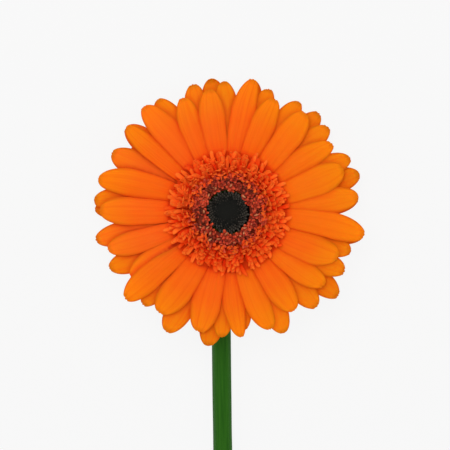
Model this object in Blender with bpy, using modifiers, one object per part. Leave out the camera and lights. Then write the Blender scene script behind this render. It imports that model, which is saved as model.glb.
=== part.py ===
"""A cut gerbera lying on a table with its face up.

The stem lies along -Y. Its neck turns up into the flower head, which leans back towards +Y until
its furthest petals lie on the table. The head has a frame of its own: +Z out of the face, +X to
the right and +Y to the top of a face-on view. Angles round the head are clock angles, in degrees
from its top. Everything is in metres, and the finished flower stands over the origin.
"""

import math
import random
from collections import namedtuple

import bmesh
import bpy
from mathutils import Matrix, Vector

MM = 0.001
SEED = 7

# Driving sizes of the whole flower
FLOWER_LENGTH = 450 * MM
HEAD_TILT = math.radians(25)
TURN_STEPS = 28

# Stem
STEM_RADIUS = 4.1 * MM
STEM_CUT_RADIUS = 4.7 * MM
STEM_TOP_RADIUS = 4.9 * MM
STEM_TOP_DEPTH = 13.7 * MM
NECK_LEAD = 1.5 * MM
NECK_BEND = 14 * MM
NECK_STEPS = 8
STEM_POINT_SPACING = 17 * MM
STEM_LEAN = 3.6 * MM
STEM_LEAN_LENGTH = 18 * MM
STEM_BOW = 9 * MM
STEM_SIDES = 12

# Head: the rays' collars ring a green core, and the florets sit on top of both
COLLAR_INNER = 12.0 * MM
COLLAR_OUTER = 14.2 * MM
COLLAR_THICKNESS = 1.2 * MM
RAY_ROOT = 13.0 * MM
RAY_SINK = 0.2 * MM
RAY_THICKNESS = 0.7 * MM
RAY_WIDEST = 0.69
RAY_CAMBER = 0.9 * MM
RAY_LIFT = 0.7 * MM
FLORET_THICKNESS = 0.65 * MM
CORE_RADIUS = 11.7 * MM
CORE_TOP = 0.2 * MM
SEAT = 0.5 * MM

# Height of the head's origin: the level stem's radius, the bend's drop, and the neck above it
HEAD_HEIGHT = (
    STEM_RADIUS
    + NECK_BEND * (1 - math.sin(HEAD_TILT))
    + (STEM_TOP_DEPTH + NECK_LEAD) * math.cos(HEAD_TILT)
)
HEAD_FRAME = Matrix.Translation((0, 0, HEAD_HEIGHT)) @ Matrix.Rotation(-HEAD_TILT, 4, "X")

# A row of ray petals: its collar's underside, how far the petals climb and then droop, how far
# over the table they stay, their colour, and the petals themselves
Row = namedtuple("Row", "name base climb droop clearance colour rays")

# A ray petal: clock angle at mid length, clock angle of the tip, reach and width in millimetres
Ray = namedtuple("Ray", "middle tip reach width")

FRONT_RAYS = (
    Ray(6.4, 6.5, 49.8, 8.9),
    Ray(20.1, 21.7, 49.8, 9.7),
    Ray(38.2, 37.5, 51.0, 11.3),
    Ray(54.3, 56.4, 50.5, 9.2),
    Ray(71.3, 69.3, 49.8, 12.3),
    Ray(95.0, 97.1, 49.6, 11.0),
    Ray(115.4, 112.1, 48.0, 11.9),
    Ray(129.9, 127.5, 49.0, 10.0),
    Ray(147.7, 146.6, 48.2, 10.6),
    Ray(164.4, 160.6, 50.8, 10.2),
    Ray(178.0, 175.0, 51.4, 7.9),
    Ray(193.9, 194.4, 50.6, 11.7),
    Ray(212.9, 215.0, 50.3, 12.6),
    Ray(234.0, 234.3, 48.9, 11.8),
    Ray(251.8, 253.0, 52.1, 9.2),
    Ray(269.4, 270.9, 53.1, 11.0),
    Ray(288.0, 284.1, 55.4, 11.0),
    Ray(308.5, 308.1, 44.3, 7.2),
    Ray(322.2, 321.0, 55.6, 11.0),
    Ray(335.3, 337.8, 50.4, 9.8),
    Ray(349.4, 350.4, 50.8, 10.6),
)
MIDDLE_RAYS = (
    Ray(108.3, 107.8, 52.3, 9.8),
    Ray(119.4, 117.2, 53.1, 10.4),
    Ray(137.1, 137.2, 52.8, 10.8),
    Ray(154.8, 155.7, 54.3, 10.7),
    Ray(172.7, 173.3, 49.0, 8.3),
    Ray(183.5, 183.5, 51.4, 9.0),
    Ray(206.4, 207.8, 55.5, 11.5),
    Ray(231.1, 230.1, 55.6, 11.1),
    Ray(242.7, 244.7, 54.4, 10.4),
    Ray(259.1, 258.2, 56.0, 10.0),
    Ray(277.4, 275.1, 55.7, 10.7),
    Ray(296.4, 296.2, 54.0, 10.2),
    Ray(309.9, 309.5, 54.8, 11.0),
    Ray(328.5, 327.1, 54.7, 10.8),
    Ray(341.4, 343.9, 54.5, 10.3),
    Ray(358.8, 357.4, 53.6, 9.9),
    Ray(17.3, 17.7, 53.0, 9.7),
    Ray(30.7, 32.1, 53.4, 9.8),
    Ray(48.5, 49.3, 53.4, 10.0),
    Ray(64.1, 65.8, 54.2, 9.8),
    Ray(84.4, 83.3, 53.2, 11.4),
)
BACK_RAYS = (
    Ray(10.5, 10.1, 55.2, 11.0),
    Ray(26, 26, 46.2, 11.0),
    Ray(41.1, 42.3, 54.9, 10.2),
    Ray(58, 58, 47.9, 10.5),
    Ray(74.0, 73.7, 55.7, 10.9),
    Ray(87, 87, 45.0, 11.0),
    Ray(100.8, 99.7, 56.0, 10.6),
    Ray(112.5, 112.5, 47.9, 10.0),
    Ray(127.2, 127.6, 56.5, 10.6),
    Ray(147.5, 147.5, 46.0, 11.5),
    Ray(167.5, 167.5, 44.2, 11.0),
    Ray(188.5, 189.2, 55.7, 10.9),
    Ray(206, 206, 47.6, 11.5),
    Ray(223.8, 223.2, 52.0, 9.8),
    Ray(238, 238, 46.4, 11.0),
    Ray(254, 254, 49.9, 11.0),
    Ray(271.9, 271.7, 55.3, 10.1),
    Ray(287.5, 287.5, 49.9, 11.0),
    Ray(303.3, 303.3, 49.2, 10.5),
    Ray(319, 319, 48.3, 11.0),
    Ray(335.5, 335.5, 47.9, 11.0),
    Ray(352.7, 352.2, 55.2, 11.2),
)
FRONT_COLOUR = (0.88, 0.14, 0.006)
MIDDLE_COLOUR = (0.83, 0.15, 0.006)
BACK_COLOUR = (0.78, 0.16, 0.008)
RAY_ROWS = (
    Row("ray_petals_back", -4.1 * MM, 1.0 * MM, 3.6 * MM, 0, BACK_COLOUR, BACK_RAYS),
    Row("ray_petals_middle", -2.6 * MM, 3.2 * MM, 2.6 * MM, 1.1 * MM, MIDDLE_COLOUR, MIDDLE_RAYS),
    Row("ray_petals_front", -1.1 * MM, 5.4 * MM, 2.5 * MM, 2.2 * MM, FRONT_COLOUR, FRONT_RAYS),
)

# A ring of strap florets: how many, then (radius, height) of root, shoulder and tip, and width
Ring = namedtuple("Ring", "count root shoulder tip width")

TRANS_RINGS = (
    Ring(34, (13.9, 1.3), (18.5, 5.0), (26.3, 5.2), 2.9),
    Ring(30, (13.3, 1.9), (17.4, 6.6), (23.2, 7.4), 2.7),
    Ring(24, (12.9, 2.3), (16.4, 8.0), (19.8, 9.3), 2.4),
)
DISC_RINGS = (
    Ring(20, (10.5, 2.2), None, (14.6, 9.9), 1.9),
    Ring(18, (10.0, 2.2), None, (12.6, 10.3), 1.8),
    Ring(16, (9.8, 2.2), None, (10.8, 9.9), 1.7),
)
BRACT_RINGS = (
    Ring(14, (6.2, -12.4), (10.2, -12.0), (13.6, -10.3), 3.4),
    Ring(16, (9.4, -10.2), (14.4, -9.2), (18.6, -7.9), 3.6),
    Ring(18, (11.8, -7.8), (17.6, -6.4), (23.0, -6.2), 3.6),
)

EYE_RADIUS = 8.6 * MM
EYE_EDGE_TOP = 6.0 * MM
EYE_CROWN_TOP = 6.8 * MM
BUD_COUNT = 46
BUD_SIDES = 5
BUD_RADIUS = 0.75 * MM
BUD_LENGTH = 3 * MM
BUD_SINK = 1.4 * MM
GOLDEN_ANGLE = 137.508


def clear_scene():
    for old in list(bpy.data.objects):
        bpy.data.objects.remove(old)


def material(name, colour, roughness):
    """A plain Principled material."""
    made = bpy.data.materials.new(name)
    made.use_nodes = True
    shader = made.node_tree.nodes["Principled BSDF"]
    shader.inputs["Base Color"].default_value = (*colour, 1)
    shader.inputs["Roughness"].default_value = roughness
    shader.inputs["Metallic"].default_value = 0
    made.diffuse_color = (*colour, 1)
    return made


def clock(angle, radius, height):
    """A point of the head's frame at a clock angle in degrees."""
    turn = math.radians(angle)
    return Vector((radius * math.sin(turn), radius * math.cos(turn), height))


def table_height(point):
    """The head-frame height of the table straight behind a point of the head."""
    return (point.y * math.sin(HEAD_TILT) - HEAD_HEIGHT) / math.cos(HEAD_TILT)


def add_object(name, data, collection, paint=None):
    made = bpy.data.objects.new(name, data)
    collection.objects.link(made)
    if paint:
        data.materials.append(paint)
    return made


def blade(place, rows, columns, thickness, collection):
    """A petal or leaf: a grid laid out by place(u, v), its underside, and thickened upwards."""
    mesh = bpy.data.meshes.new("blade")
    shape = bmesh.new()
    bmesh.ops.create_grid(shape, x_segments=columns, y_segments=rows, size=0.5)
    for corner in shape.verts:
        corner.co = place(corner.co.y + 0.5, corner.co.x * 2)
    bmesh.ops.triangulate(shape, faces=shape.faces)
    shape.to_mesh(mesh)
    shape.free()
    made = add_object("blade", mesh, collection)
    skin = made.modifiers.new("Thickness", "SOLIDIFY")
    skin.thickness = thickness
    skin.offset = 1
    return made


def turned(name, profile, paint, collection):
    """A solid of revolution about Z from a closed profile, or from one that ends on the axis."""
    mesh = bpy.data.meshes.new(name)
    closed = min(radius for radius, height in profile) > 0
    count = len(profile)
    edges = [(i, (i + 1) % count) for i in range(count if closed else count - 1)]
    mesh.from_pydata([(radius, 0, height) for radius, height in profile], edges, [])
    made = add_object(name, mesh, collection, paint)
    screw = made.modifiers.new("Turn", "SCREW")
    screw.steps = TURN_STEPS
    screw.render_steps = TURN_STEPS
    screw.use_merge_vertices = True
    screw.merge_threshold = 0.00005
    screw.use_smooth_shade = False
    return made


def bake(thing):
    """Replaces an object's modifiers by the mesh that they make."""
    graph = bpy.context.evaluated_depsgraph_get()
    mesh = bpy.data.meshes.new_from_object(thing.evaluated_get(graph))
    mesh.name = thing.name
    thing.modifiers.clear()
    thing.data = mesh


def fuse(base, repeats, solver="EXACT"):
    """Joins a collection of repeats to the solid that they grow from."""
    join = base.modifiers.new("Fuse", "BOOLEAN")
    join.operation = "UNION"
    join.operand_type = "COLLECTION"
    join.collection = repeats
    join.solver = solver
    bake(base)
    for thing in list(repeats.objects):
        bpy.data.objects.remove(thing)
    bpy.data.collections.remove(repeats)
    base.data.shade_smooth()
    base.data.set_sharp_from_angle(angle=math.radians(35))


def new_repeats():
    made = bpy.data.collections.new("Repeats")
    bpy.context.scene.collection.children.link(made)
    return made


def ray_outline(along):
    """A ray petal's half width as a share of its greatest, from its claw to its round tip."""
    claw = 0.3 + 0.7 * min(1, along / RAY_WIDEST) ** 0.9
    past_widest = max(0, along - RAY_WIDEST) / (1 - RAY_WIDEST)
    return claw * math.sqrt(max(0.01, 1 - past_widest**2.4))


def ray_place(row, ray, lift):
    """The place(u, v) of a ray petal's underside."""
    reach, half_width = ray.reach * MM, ray.width * MM / 2
    free_from = (COLLAR_OUTER - RAY_ROOT) / (reach - RAY_ROOT)

    def place(u, v):
        along = 1 - (1 - u) ** 1.25
        angle = ray.middle + (ray.tip - ray.middle) * (4 * along**2 - 1) / 3
        outline = ray_outline(along)
        free = max(0, along - free_from) / (1 - free_from)
        height = row.base + RAY_SINK + row.climb * (1 - (1 - free) ** 3) - row.droop * free**2
        height += lift * min(1, free / 0.25) - RAY_CAMBER * min(outline, 4 * free) * v * v
        centre = clock(angle, RAY_ROOT + (reach - RAY_ROOT) * along, height)
        point = centre + clock(angle + 90, half_width * outline * v, 0)
        point.z = max(point.z, table_height(point) + row.clearance / math.cos(HEAD_TILT))
        return point

    return place


def ray_petals(row, paint, collection):
    """One row of ray petals on the collar that holds them, neighbours lying over and under."""
    top = row.base + COLLAR_THICKNESS
    collar = (
        (COLLAR_OUTER, top),
        (COLLAR_OUTER, row.base),
        (COLLAR_INNER, row.base),
        (COLLAR_INNER, top),
    )
    base = turned(row.name, collar, paint, collection)
    repeats = new_repeats()
    for number, ray in enumerate(row.rays):
        lift = RAY_LIFT if number % 2 else -RAY_LIFT
        blade(ray_place(row, ray, lift), 6, 2, RAY_THICKNESS, repeats)
    fuse(base, repeats)
    return base


def strap_place(ring, angle, taper, lift):
    """The place(u, v) of a short strap that leaves its root, turns over its shoulder and ends."""
    root, shoulder, tip = ring.root, ring.shoulder, ring.tip
    half_width = ring.width * MM / 2

    def place(u, v):
        weights = ((1 - u) ** 2, 2 * u * (1 - u), u * u)
        radius = sum(w * p[0] for w, p in zip(weights, (root, shoulder, tip)))
        height = sum(w * p[1] for w, p in zip(weights, (root, shoulder, tip))) + lift * u
        outline = 1 - (1 - taper) * u**3
        side = clock(angle + 90, half_width * outline * v, 0)
        return clock(angle, radius * MM, height * MM) + side

    return place


def straps(base, rings, jitter, taper, draw, first_angle=0.0):
    """Fuses rings of straps to a base, each ring turned half a step from the one before."""
    repeats = new_repeats()
    for level, ring in enumerate(rings):
        for number in range(ring.count):
            angle = first_angle + 360 * (number + level / 2) / ring.count
            angle += draw.uniform(-jitter, jitter)
            lift = draw.uniform(0, 0.5) * (1 if number % 2 else -1)
            blade(strap_place(ring, angle, taper, lift), 3, 1, FLORET_THICKNESS, repeats)
    fuse(base, repeats)


def trans_florets(paint, collection):
    """The short inner straps between the ray petals and the dark disc."""
    profile = ((14.9, 2.4), (14.9, 1.4), (13.4, 0.5), (12.0, 0.5), (12.0, 2.4), (13.2, 3.3))
    base = turned("trans_florets", [(r * MM, z * MM) for r, z in profile], paint, collection)
    straps(base, TRANS_RINGS, 1.2, 0.45, random.Random(SEED))
    return base


def tube_between(foot, head, foot_radius, head_radius, sides, collection):
    """A tapered prism from one point to another."""
    mesh = bpy.data.meshes.new("tube")
    shape = bmesh.new()
    length = (head - foot).length
    bmesh.ops.create_cone(
        shape,
        cap_ends=True,
        segments=sides,
        radius1=foot_radius,
        radius2=head_radius,
        depth=length,
    )
    turn = (head - foot).to_track_quat("Z", "Y").to_matrix().to_4x4()
    shape.transform(Matrix.Translation((foot + head) / 2) @ turn)
    shape.to_mesh(mesh)
    shape.free()
    return add_object("tube", mesh, collection)


def disc_florets(paint, collection):
    """The dark tubular florets that stand round the eye, leaning outwards."""
    profile = ((11.1, 2.4), (11.1, 0.5), (9.0, 0.5), (9.0, 3.4), (10.3, 3.4))
    base = turned("disc_florets", [(r * MM, z * MM) for r, z in profile], paint, collection)
    repeats = new_repeats()
    for level, ring in enumerate(DISC_RINGS):
        for number in range(ring.count):
            angle = 360 * (number + level / 2) / ring.count
            foot = clock(angle, ring.root[0] * MM, ring.root[1] * MM)
            head = clock(angle, ring.tip[0] * MM, ring.tip[1] * MM)
            width = ring.width * MM / 2
            tube_between(foot, head, 0.6 * width, width, BUD_SIDES, repeats)
    fuse(base, repeats)
    return base


def eye_height(radius):
    """The height of the eye's domed top."""
    share = radius / EYE_RADIUS
    return EYE_CROWN_TOP - (EYE_CROWN_TOP - EYE_EDGE_TOP) * share**2


def floret_buds(paint, collection):
    """The dark eye: unopened florets packed in a spiral on a low dome."""
    rings = [EYE_RADIUS * share for share in (0, 0.5, 1)]
    profile = [(radius, eye_height(radius)) for radius in rings]
    profile += [(EYE_RADIUS, SEAT), (0, SEAT)]
    base = turned("floret_buds", profile, paint, collection)
    repeats = new_repeats()
    for number in range(BUD_COUNT):
        radius = (EYE_RADIUS - BUD_RADIUS) * math.sqrt((number + 0.5) / BUD_COUNT)
        foot = clock(number * GOLDEN_ANGLE, radius, eye_height(radius) - BUD_SINK)
        lean = clock(number * GOLDEN_ANGLE, 0.12 * radius, BUD_LENGTH)
        tube_between(foot, foot + lean, BUD_RADIUS, 0.5 * BUD_RADIUS, BUD_SIDES, repeats)
    fuse(base, repeats)
    return base


def involucre(paint, collection):
    """The green cup behind the petals, its core inside their collars, and its rings of bracts."""
    profile = (
        (0, CORE_TOP),
        (CORE_RADIUS, CORE_TOP),
        (CORE_RADIUS, -4.5 * MM),
        (14.6 * MM, -4.5 * MM),
        (14.6 * MM, -6.4 * MM),
        (12.6 * MM, -9.0 * MM),
        (9.0 * MM, -11.6 * MM),
        (5.3 * MM, -13.3 * MM),
        (0, -13.3 * MM),
    )
    base = turned("involucre", profile, paint, collection)
    straps(base, BRACT_RINGS, 1.5, 0.12, random.Random(SEED + 1))
    return base


def stem_radius(distance, length):
    """The stem's radius at a distance down from the head."""
    flare = (STEM_TOP_RADIUS - STEM_RADIUS) * math.exp(-distance / (3.5 * MM))
    return STEM_RADIUS + flare + (STEM_CUT_RADIUS - STEM_RADIUS) * distance / length


def stem_route():
    """Points down the middle of the stem, with the radius at each, from the head to the cut."""
    down = Vector((0, -math.sin(HEAD_TILT), -math.cos(HEAD_TILT)))
    top = HEAD_FRAME @ Vector((0, 0, -STEM_TOP_DEPTH))
    bend_start = top + down * NECK_LEAD
    bend_centre = bend_start + NECK_BEND * Vector((0, -math.cos(HEAD_TILT), math.sin(HEAD_TILT)))
    points = [top, (top + bend_start) / 2]
    for step in range(NECK_STEPS + 1):
        turn = HEAD_TILT + (math.pi / 2 - HEAD_TILT) * step / NECK_STEPS
        points.append(bend_centre + NECK_BEND * Vector((0, math.cos(turn), -math.sin(turn))))
    tips = [HEAD_FRAME @ ray_place(RAY_ROWS[0], ray, 0)(1, 0) for ray in BACK_RAYS]
    run = FLOWER_LENGTH - (max(tip.y for tip in tips) - bend_centre.y)
    run_steps = round(run / STEM_POINT_SPACING)
    for step in range(1, run_steps + 1):
        points.append(points[NECK_STEPS + 2] + Vector((0, -run * step / run_steps, 0)))
    radii = []
    length = sum((b - a).length for a, b in zip(points, points[1:]))
    distance = 0
    for number, point in enumerate(points):
        distance += (point - points[number - 1]).length if number else 0
        radii.append(stem_radius(distance, length))
        share = distance / length
        leaning = 1 - math.exp(-((distance / STEM_LEAN_LENGTH) ** 2))
        point.x = STEM_BOW * share**2 - STEM_LEAN * leaning
        if number > NECK_STEPS + 1:
            point.z = radii[-1]
    return points, radii


def stem(paint, collection):
    """The bare flower stalk, one tube from the cup to the cut end."""
    points, radii = stem_route()
    curve = bpy.data.curves.new("stem", "CURVE")
    curve.dimensions = "3D"
    curve.bevel_depth = 1
    curve.bevel_resolution = STEM_SIDES // 2 - 2
    curve.twist_mode = "Z_UP"
    curve.use_fill_caps = True
    line = curve.splines.new("POLY")
    line.points.add(len(points) - 1)
    for corner, point, radius in zip(line.points, points, radii):
        corner.co = (*point, 1)
        corner.radius = radius
    line.use_smooth = True
    return add_object("stem", curve, collection, paint)


def centre_on_origin(root, things):
    """Moves the root so that the flower's bounding box stands over the origin."""
    bpy.context.view_layer.update()
    graph = bpy.context.evaluated_depsgraph_get()
    corners = []
    for thing in things:
        shown = thing.evaluated_get(graph)
        corners += [shown.matrix_world @ corner.co for corner in shown.to_mesh().vertices]
        shown.to_mesh_clear()
    for axis in (0, 1):
        values = [corner[axis] for corner in corners]
        root.location[axis] = -(min(values) + max(values)) / 2


def main():
    clear_scene()
    flower = bpy.data.collections.new("Cut gerbera")
    bpy.context.scene.collection.children.link(flower)
    green = (0.03, 0.105, 0.009)
    cup_paint = material("involucre green", green, 0.6)
    stem_paint = material("stem green", green, 0.5)
    trans_paint = material("trans floret orange red", (0.66, 0.07, 0.006), 0.5)
    disc_paint = material("disc floret maroon", (0.16, 0.014, 0.006), 0.55)
    eye_paint = material("eye black green", (0.012, 0.014, 0.011), 0.6)

    head_things = [involucre(cup_paint, flower)]
    for row in RAY_ROWS:
        head_things.append(ray_petals(row, material(row.name, row.colour, 0.5), flower))
    head_things.append(trans_florets(trans_paint, flower))
    head_things.append(disc_florets(disc_paint, flower))
    head_things.append(floret_buds(eye_paint, flower))
    stalk = stem(stem_paint, flower)

    root = add_object("gerbera", None, flower)
    head = add_object("head", None, flower)
    head.matrix_world = HEAD_FRAME
    head.parent = root
    for thing in head_things:
        thing.parent = head
    stalk.parent = root
    centre_on_origin(root, [*head_things, stalk])


main()
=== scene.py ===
import math
from collections import namedtuple

import bpy
import numpy as np
from mathutils import Matrix, Vector


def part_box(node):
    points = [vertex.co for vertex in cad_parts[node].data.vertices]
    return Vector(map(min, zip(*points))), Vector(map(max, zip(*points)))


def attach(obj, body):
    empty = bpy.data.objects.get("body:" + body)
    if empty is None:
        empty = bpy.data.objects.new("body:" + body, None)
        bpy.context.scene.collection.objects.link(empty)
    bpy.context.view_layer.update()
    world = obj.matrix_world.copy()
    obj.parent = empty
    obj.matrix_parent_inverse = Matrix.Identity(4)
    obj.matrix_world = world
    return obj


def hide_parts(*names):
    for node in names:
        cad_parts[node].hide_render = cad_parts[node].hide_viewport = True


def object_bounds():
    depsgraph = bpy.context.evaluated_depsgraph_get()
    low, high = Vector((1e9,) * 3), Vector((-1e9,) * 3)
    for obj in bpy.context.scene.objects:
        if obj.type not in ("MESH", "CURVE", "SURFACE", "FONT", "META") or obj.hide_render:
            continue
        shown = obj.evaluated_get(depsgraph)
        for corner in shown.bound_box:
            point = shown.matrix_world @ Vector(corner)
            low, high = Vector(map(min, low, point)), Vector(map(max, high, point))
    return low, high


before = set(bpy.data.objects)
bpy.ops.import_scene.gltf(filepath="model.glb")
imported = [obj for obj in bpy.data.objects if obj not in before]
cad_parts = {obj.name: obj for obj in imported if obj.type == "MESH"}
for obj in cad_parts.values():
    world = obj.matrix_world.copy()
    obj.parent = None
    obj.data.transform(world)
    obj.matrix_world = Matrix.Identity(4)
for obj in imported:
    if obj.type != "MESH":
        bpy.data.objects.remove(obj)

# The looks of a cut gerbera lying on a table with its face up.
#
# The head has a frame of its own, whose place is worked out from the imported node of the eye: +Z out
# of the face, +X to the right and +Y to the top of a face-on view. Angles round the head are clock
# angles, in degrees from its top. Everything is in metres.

MM = 0.001
CAD_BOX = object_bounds()

# The head's place: its tilt, and the eye's rim and seat, as in the solids
HEAD_TILT = math.radians(25)
EYE_RADIUS = 8.6 * MM
EYE_SEAT = 0.5 * MM

# The photograph's framing: how wide a strip of the head's plane it shows, and the head's place
CAMERA_DISTANCE = 1.0
FIELD_WIDTH = 184 * MM
HEAD_FROM_MIDDLE = (1.84 * MM, 5.3 * MM)
SENSOR_WIDTH = 36.0

# Ray petals: where they leave the collar, how they arch, overlap and taper, and their mesh
RAY_ROOT = 13.0 * MM
RAY_SINK = 0.2 * MM
COLLAR_OUTER = 14.2 * MM
RAY_CAMBER = 0.9 * MM
RAY_LIFT = 0.45 * MM
RAY_TUCK = 1.0 * MM
RAY_SPREAD = 0.6 * MM
RAY_THICKNESS = 0.36 * MM
RAY_THINNING = 0.55
RAY_WIDEST = 0.69
RAY_CAP = 0.988
RAY_LENGTH_STEPS = 46
RAY_WIDTH_STEPS = 22
TABLE_EASE = 0.4 * MM

# Relief of a ray petal: two furrows beside its middle, fine ribs and a wavy edge
FURROW_PLACE = 0.36
FURROW_DEPTH = 0.09 * MM
RIB_COUNT = 11
RIB_DEPTH = 0.02 * MM
WAVE_HEIGHT = 0.18 * MM

# Shade painted on the ray petals: beside the edges above them, and round the florets
SHADE_REACH = 1.2 * MM
SHADE_LOST_AT_TIPS = 0.45
SHADE_LOST_TO_RIGHT = 0.4
SHADE_GAINED_INSIDE = 0.9
INSIDE_REACH = 31 * MM
INSIDE_FADE = 5 * MM
FLORET_SHADE = 1.6
FLORET_REACH = 26.2 * MM
FLORET_FADE = 1.8 * MM
# The cosine of the widest angle between two ray petals of which one may shade the other
NEARBY = 0.8

# A row's order says, for each petal and the next one clockwise, whether it lies over (1) or under
# (-1) that one or only beside it (0). Without an order, every other petal is raised.
Row = namedtuple("Row", "name base climb droop clearance rays order")
Ray = namedtuple("Ray", "middle tip reach width")

FRONT_RAYS = (
    Ray(6.3, 10.3, 55.2, 9.4),
    Ray(20.1, 21.7, 49.8, 10.1),
    Ray(38.2, 37.5, 51.0, 11.3),
    Ray(54.3, 56.4, 50.5, 9.2),
    Ray(71.3, 69.3, 49.8, 12.3),
    Ray(83.6, 83.3, 53.0, 10.6),
    Ray(96.6, 99.7, 55.9, 10.9),
    Ray(115.4, 112.1, 48.0, 12.3),
    Ray(129.9, 127.5, 49.0, 10.0),
    Ray(147.7, 146.6, 48.2, 10.9),
    Ray(164.4, 160.6, 50.8, 10.2),
    Ray(178.0, 175.0, 51.4, 7.9),
    Ray(193.9, 194.4, 50.6, 11.7),
    Ray(212.9, 215.0, 50.3, 12.6),
    Ray(231.3, 230.1, 55.5, 10.8),
    Ray(237.0, 236.6, 48.3, 10.6),
    Ray(251.8, 253.0, 52.1, 9.7),
    Ray(270.2, 270.9, 53.1, 11.6),
    Ray(288.0, 284.1, 55.4, 11.0),
    Ray(308.4, 309.6, 54.7, 8.4),
    Ray(322.2, 321.0, 55.6, 11.0),
    Ray(335.3, 337.8, 50.4, 9.8),
    Ray(349.4, 350.4, 50.8, 10.6),
)
MIDDLE_RAYS = (
    Ray(108.3, 107.8, 52.3, 9.8),
    Ray(119.4, 117.2, 53.1, 10.4),
    Ray(137.1, 137.2, 52.8, 10.8),
    Ray(154.8, 155.7, 54.3, 10.7),
    Ray(172.7, 173.3, 49.0, 8.3),
    Ray(183.5, 183.5, 51.4, 9.0),
    Ray(206.4, 207.8, 55.5, 11.5),
    Ray(223.8, 223.2, 52.0, 9.8),
    Ray(242.7, 244.7, 54.4, 10.4),
    Ray(259.1, 258.2, 56.0, 10.0),
    Ray(277.4, 275.1, 55.7, 10.7),
    Ray(297.2, 296.6, 54.0, 11.2),
    Ray(309.9, 309.5, 54.8, 11.0),
    Ray(328.5, 327.1, 54.7, 10.8),
    Ray(341.4, 343.9, 54.5, 10.3),
    Ray(358.8, 357.4, 53.6, 9.9),
    Ray(17.3, 17.7, 53.0, 9.7),
    Ray(30.7, 32.1, 53.4, 9.8),
    Ray(48.5, 49.3, 53.4, 10.0),
    Ray(64.1, 65.8, 54.2, 9.8),
    Ray(84.4, 83.3, 53.2, 11.4),
)
BACK_RAYS = (
    Ray(10.5, 10.1, 55.2, 11.0),
    Ray(26, 26, 46.2, 11.0),
    Ray(41.1, 42.3, 54.9, 10.2),
    Ray(58, 58, 47.9, 10.5),
    Ray(74.0, 73.7, 55.7, 10.9),
    Ray(87, 87, 45.0, 11.0),
    Ray(100.8, 99.7, 56.0, 10.6),
    Ray(112.5, 112.5, 47.9, 10.0),
    Ray(127.2, 127.6, 56.5, 10.6),
    Ray(147.5, 147.5, 46.0, 11.5),
    Ray(167.5, 167.5, 44.2, 11.0),
    Ray(188.5, 189.2, 55.7, 10.9),
    Ray(206, 206, 47.6, 11.5),
    Ray(223.8, 223.2, 52.0, 9.8),
    Ray(238, 238, 46.4, 11.0),
    Ray(254, 254, 49.9, 11.0),
    Ray(271.9, 271.7, 55.3, 10.1),
    Ray(287.5, 287.5, 49.9, 11.0),
    Ray(303.3, 303.3, 48.2, 10.5),
    Ray(319, 319, 48.3, 11.0),
    Ray(335.5, 335.5, 47.9, 11.0),
    Ray(352.7, 352.2, 55.2, 11.2),
)
FRONT_ORDER = (-1, -1, 1, -1, 1, -1, 1, 1, 1, 1, 1, -1, -1, 0, 1, 0, 0, 1, 0, -1, -1, -1, 0)
RAY_ROWS = (
    Row("ray_petals_back", -4.1 * MM, 1.7 * MM, 2.6 * MM, 0, BACK_RAYS, None),
    Row("ray_petals_middle", -2.6 * MM, 3.9 * MM, 2.6 * MM, 1.1 * MM, MIDDLE_RAYS, None),
    Row("ray_petals_front", -1.1 * MM, 5.0 * MM, 3.0 * MM, 2.2 * MM, FRONT_RAYS, FRONT_ORDER),
)

# Rings of florets: how many, then (radius, height) in millimetres of root, shoulder and tip
Ring = namedtuple("Ring", "count root shoulder tip")

TRANS_RINGS = (
    Ring(60, (14.3, 1.5), (18.6, 3.6), (26.9, 4.6)),
    Ring(59, (14.1, 1.7), (18.2, 4.6), (25.6, 5.5)),
    Ring(58, (13.9, 1.9), (17.8, 5.6), (24.2, 6.3)),
    Ring(56, (13.7, 2.0), (17.3, 6.5), (22.7, 7.0)),
    Ring(54, (13.5, 2.1), (16.8, 7.2), (21.4, 7.7)),
    Ring(52, (13.3, 2.2), (16.3, 7.9), (20.1, 8.3)),
    Ring(50, (13.1, 2.3), (15.8, 8.5), (18.9, 8.9)),
    Ring(47, (12.9, 2.4), (15.3, 8.9), (17.7, 9.3)),
    Ring(46, (12.7, 2.5), (14.8, 9.2), (16.5, 9.6)),
    Ring(40, (12.5, 2.5), (14.3, 9.3), (15.6, 9.7)),
)
DISC_RINGS = (
    Ring(21, (10.9, 2.3), None, (14.6, 9.3)),
    Ring(20, (10.5, 2.3), None, (13.3, 9.7)),
    Ring(19, (10.1, 2.3), None, (12.0, 9.8)),
    Ring(17, (9.7, 2.3), None, (10.8, 9.5)),
    Ring(16, (9.6, 2.3), None, (10.5, 8.9)),
)
# Outlines, as (radius, height) in millimetres, of the turned beds that the florets stand on
TRANS_BED = ((14.9, 2.4), (14.9, 1.4), (13.4, 0.5), (12.0, 0.5), (12.0, 2.4), (13.2, 3.3))
DISC_BED = ((13.4, 6.6), (11.1, 2.4), (11.1, 0.5), (9.0, 0.5), (9.0, 6.4), (11.0, 7.2))
BED_SIDES = 96
TRANS_THICKNESS = 0.2 * MM
TRANS_NOTCH = 0.3 * MM
# The rings of trans florets that are painted a little brighter, as painted light that lifts the deep
# shade among them
BRIGHT_RINGS = range(2, 7)
BRIGHT_TONE = 0.3
# A disc floret's tube, in millimetres, and how much more unevenly the innermost ring reaches
TUBE_RADII = (0.4, 0.5, 0.7)
TUBE_SIDES = 7
INNER_STRAY = 2.2
LOBE_COUNT = 5
LOBE_THICKNESS = 0.1 * MM
# How likely a disc floret of each ring is to show pale pollen on the side where most do, how much
# less likely it is across from there, and the radii of its column of pollen in millimetres
POLLEN_SHARES = (0.0, 0.12, 0.35, 0.6, 0.95)
POLLEN_SIDE = 200
POLLEN_LOSS = 0.4
POLLEN_RADII = (0.2, 0.32, 0.4, 0.26)
# How far the florets lean to one side of the rays' middle, the height where that starts, and the
# height over which it grows
CORE_LEAN = (-0.75 * MM, 0.0)
LEAN_FROM = 1.0 * MM
LEAN_HEIGHT = 4.5 * MM

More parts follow.
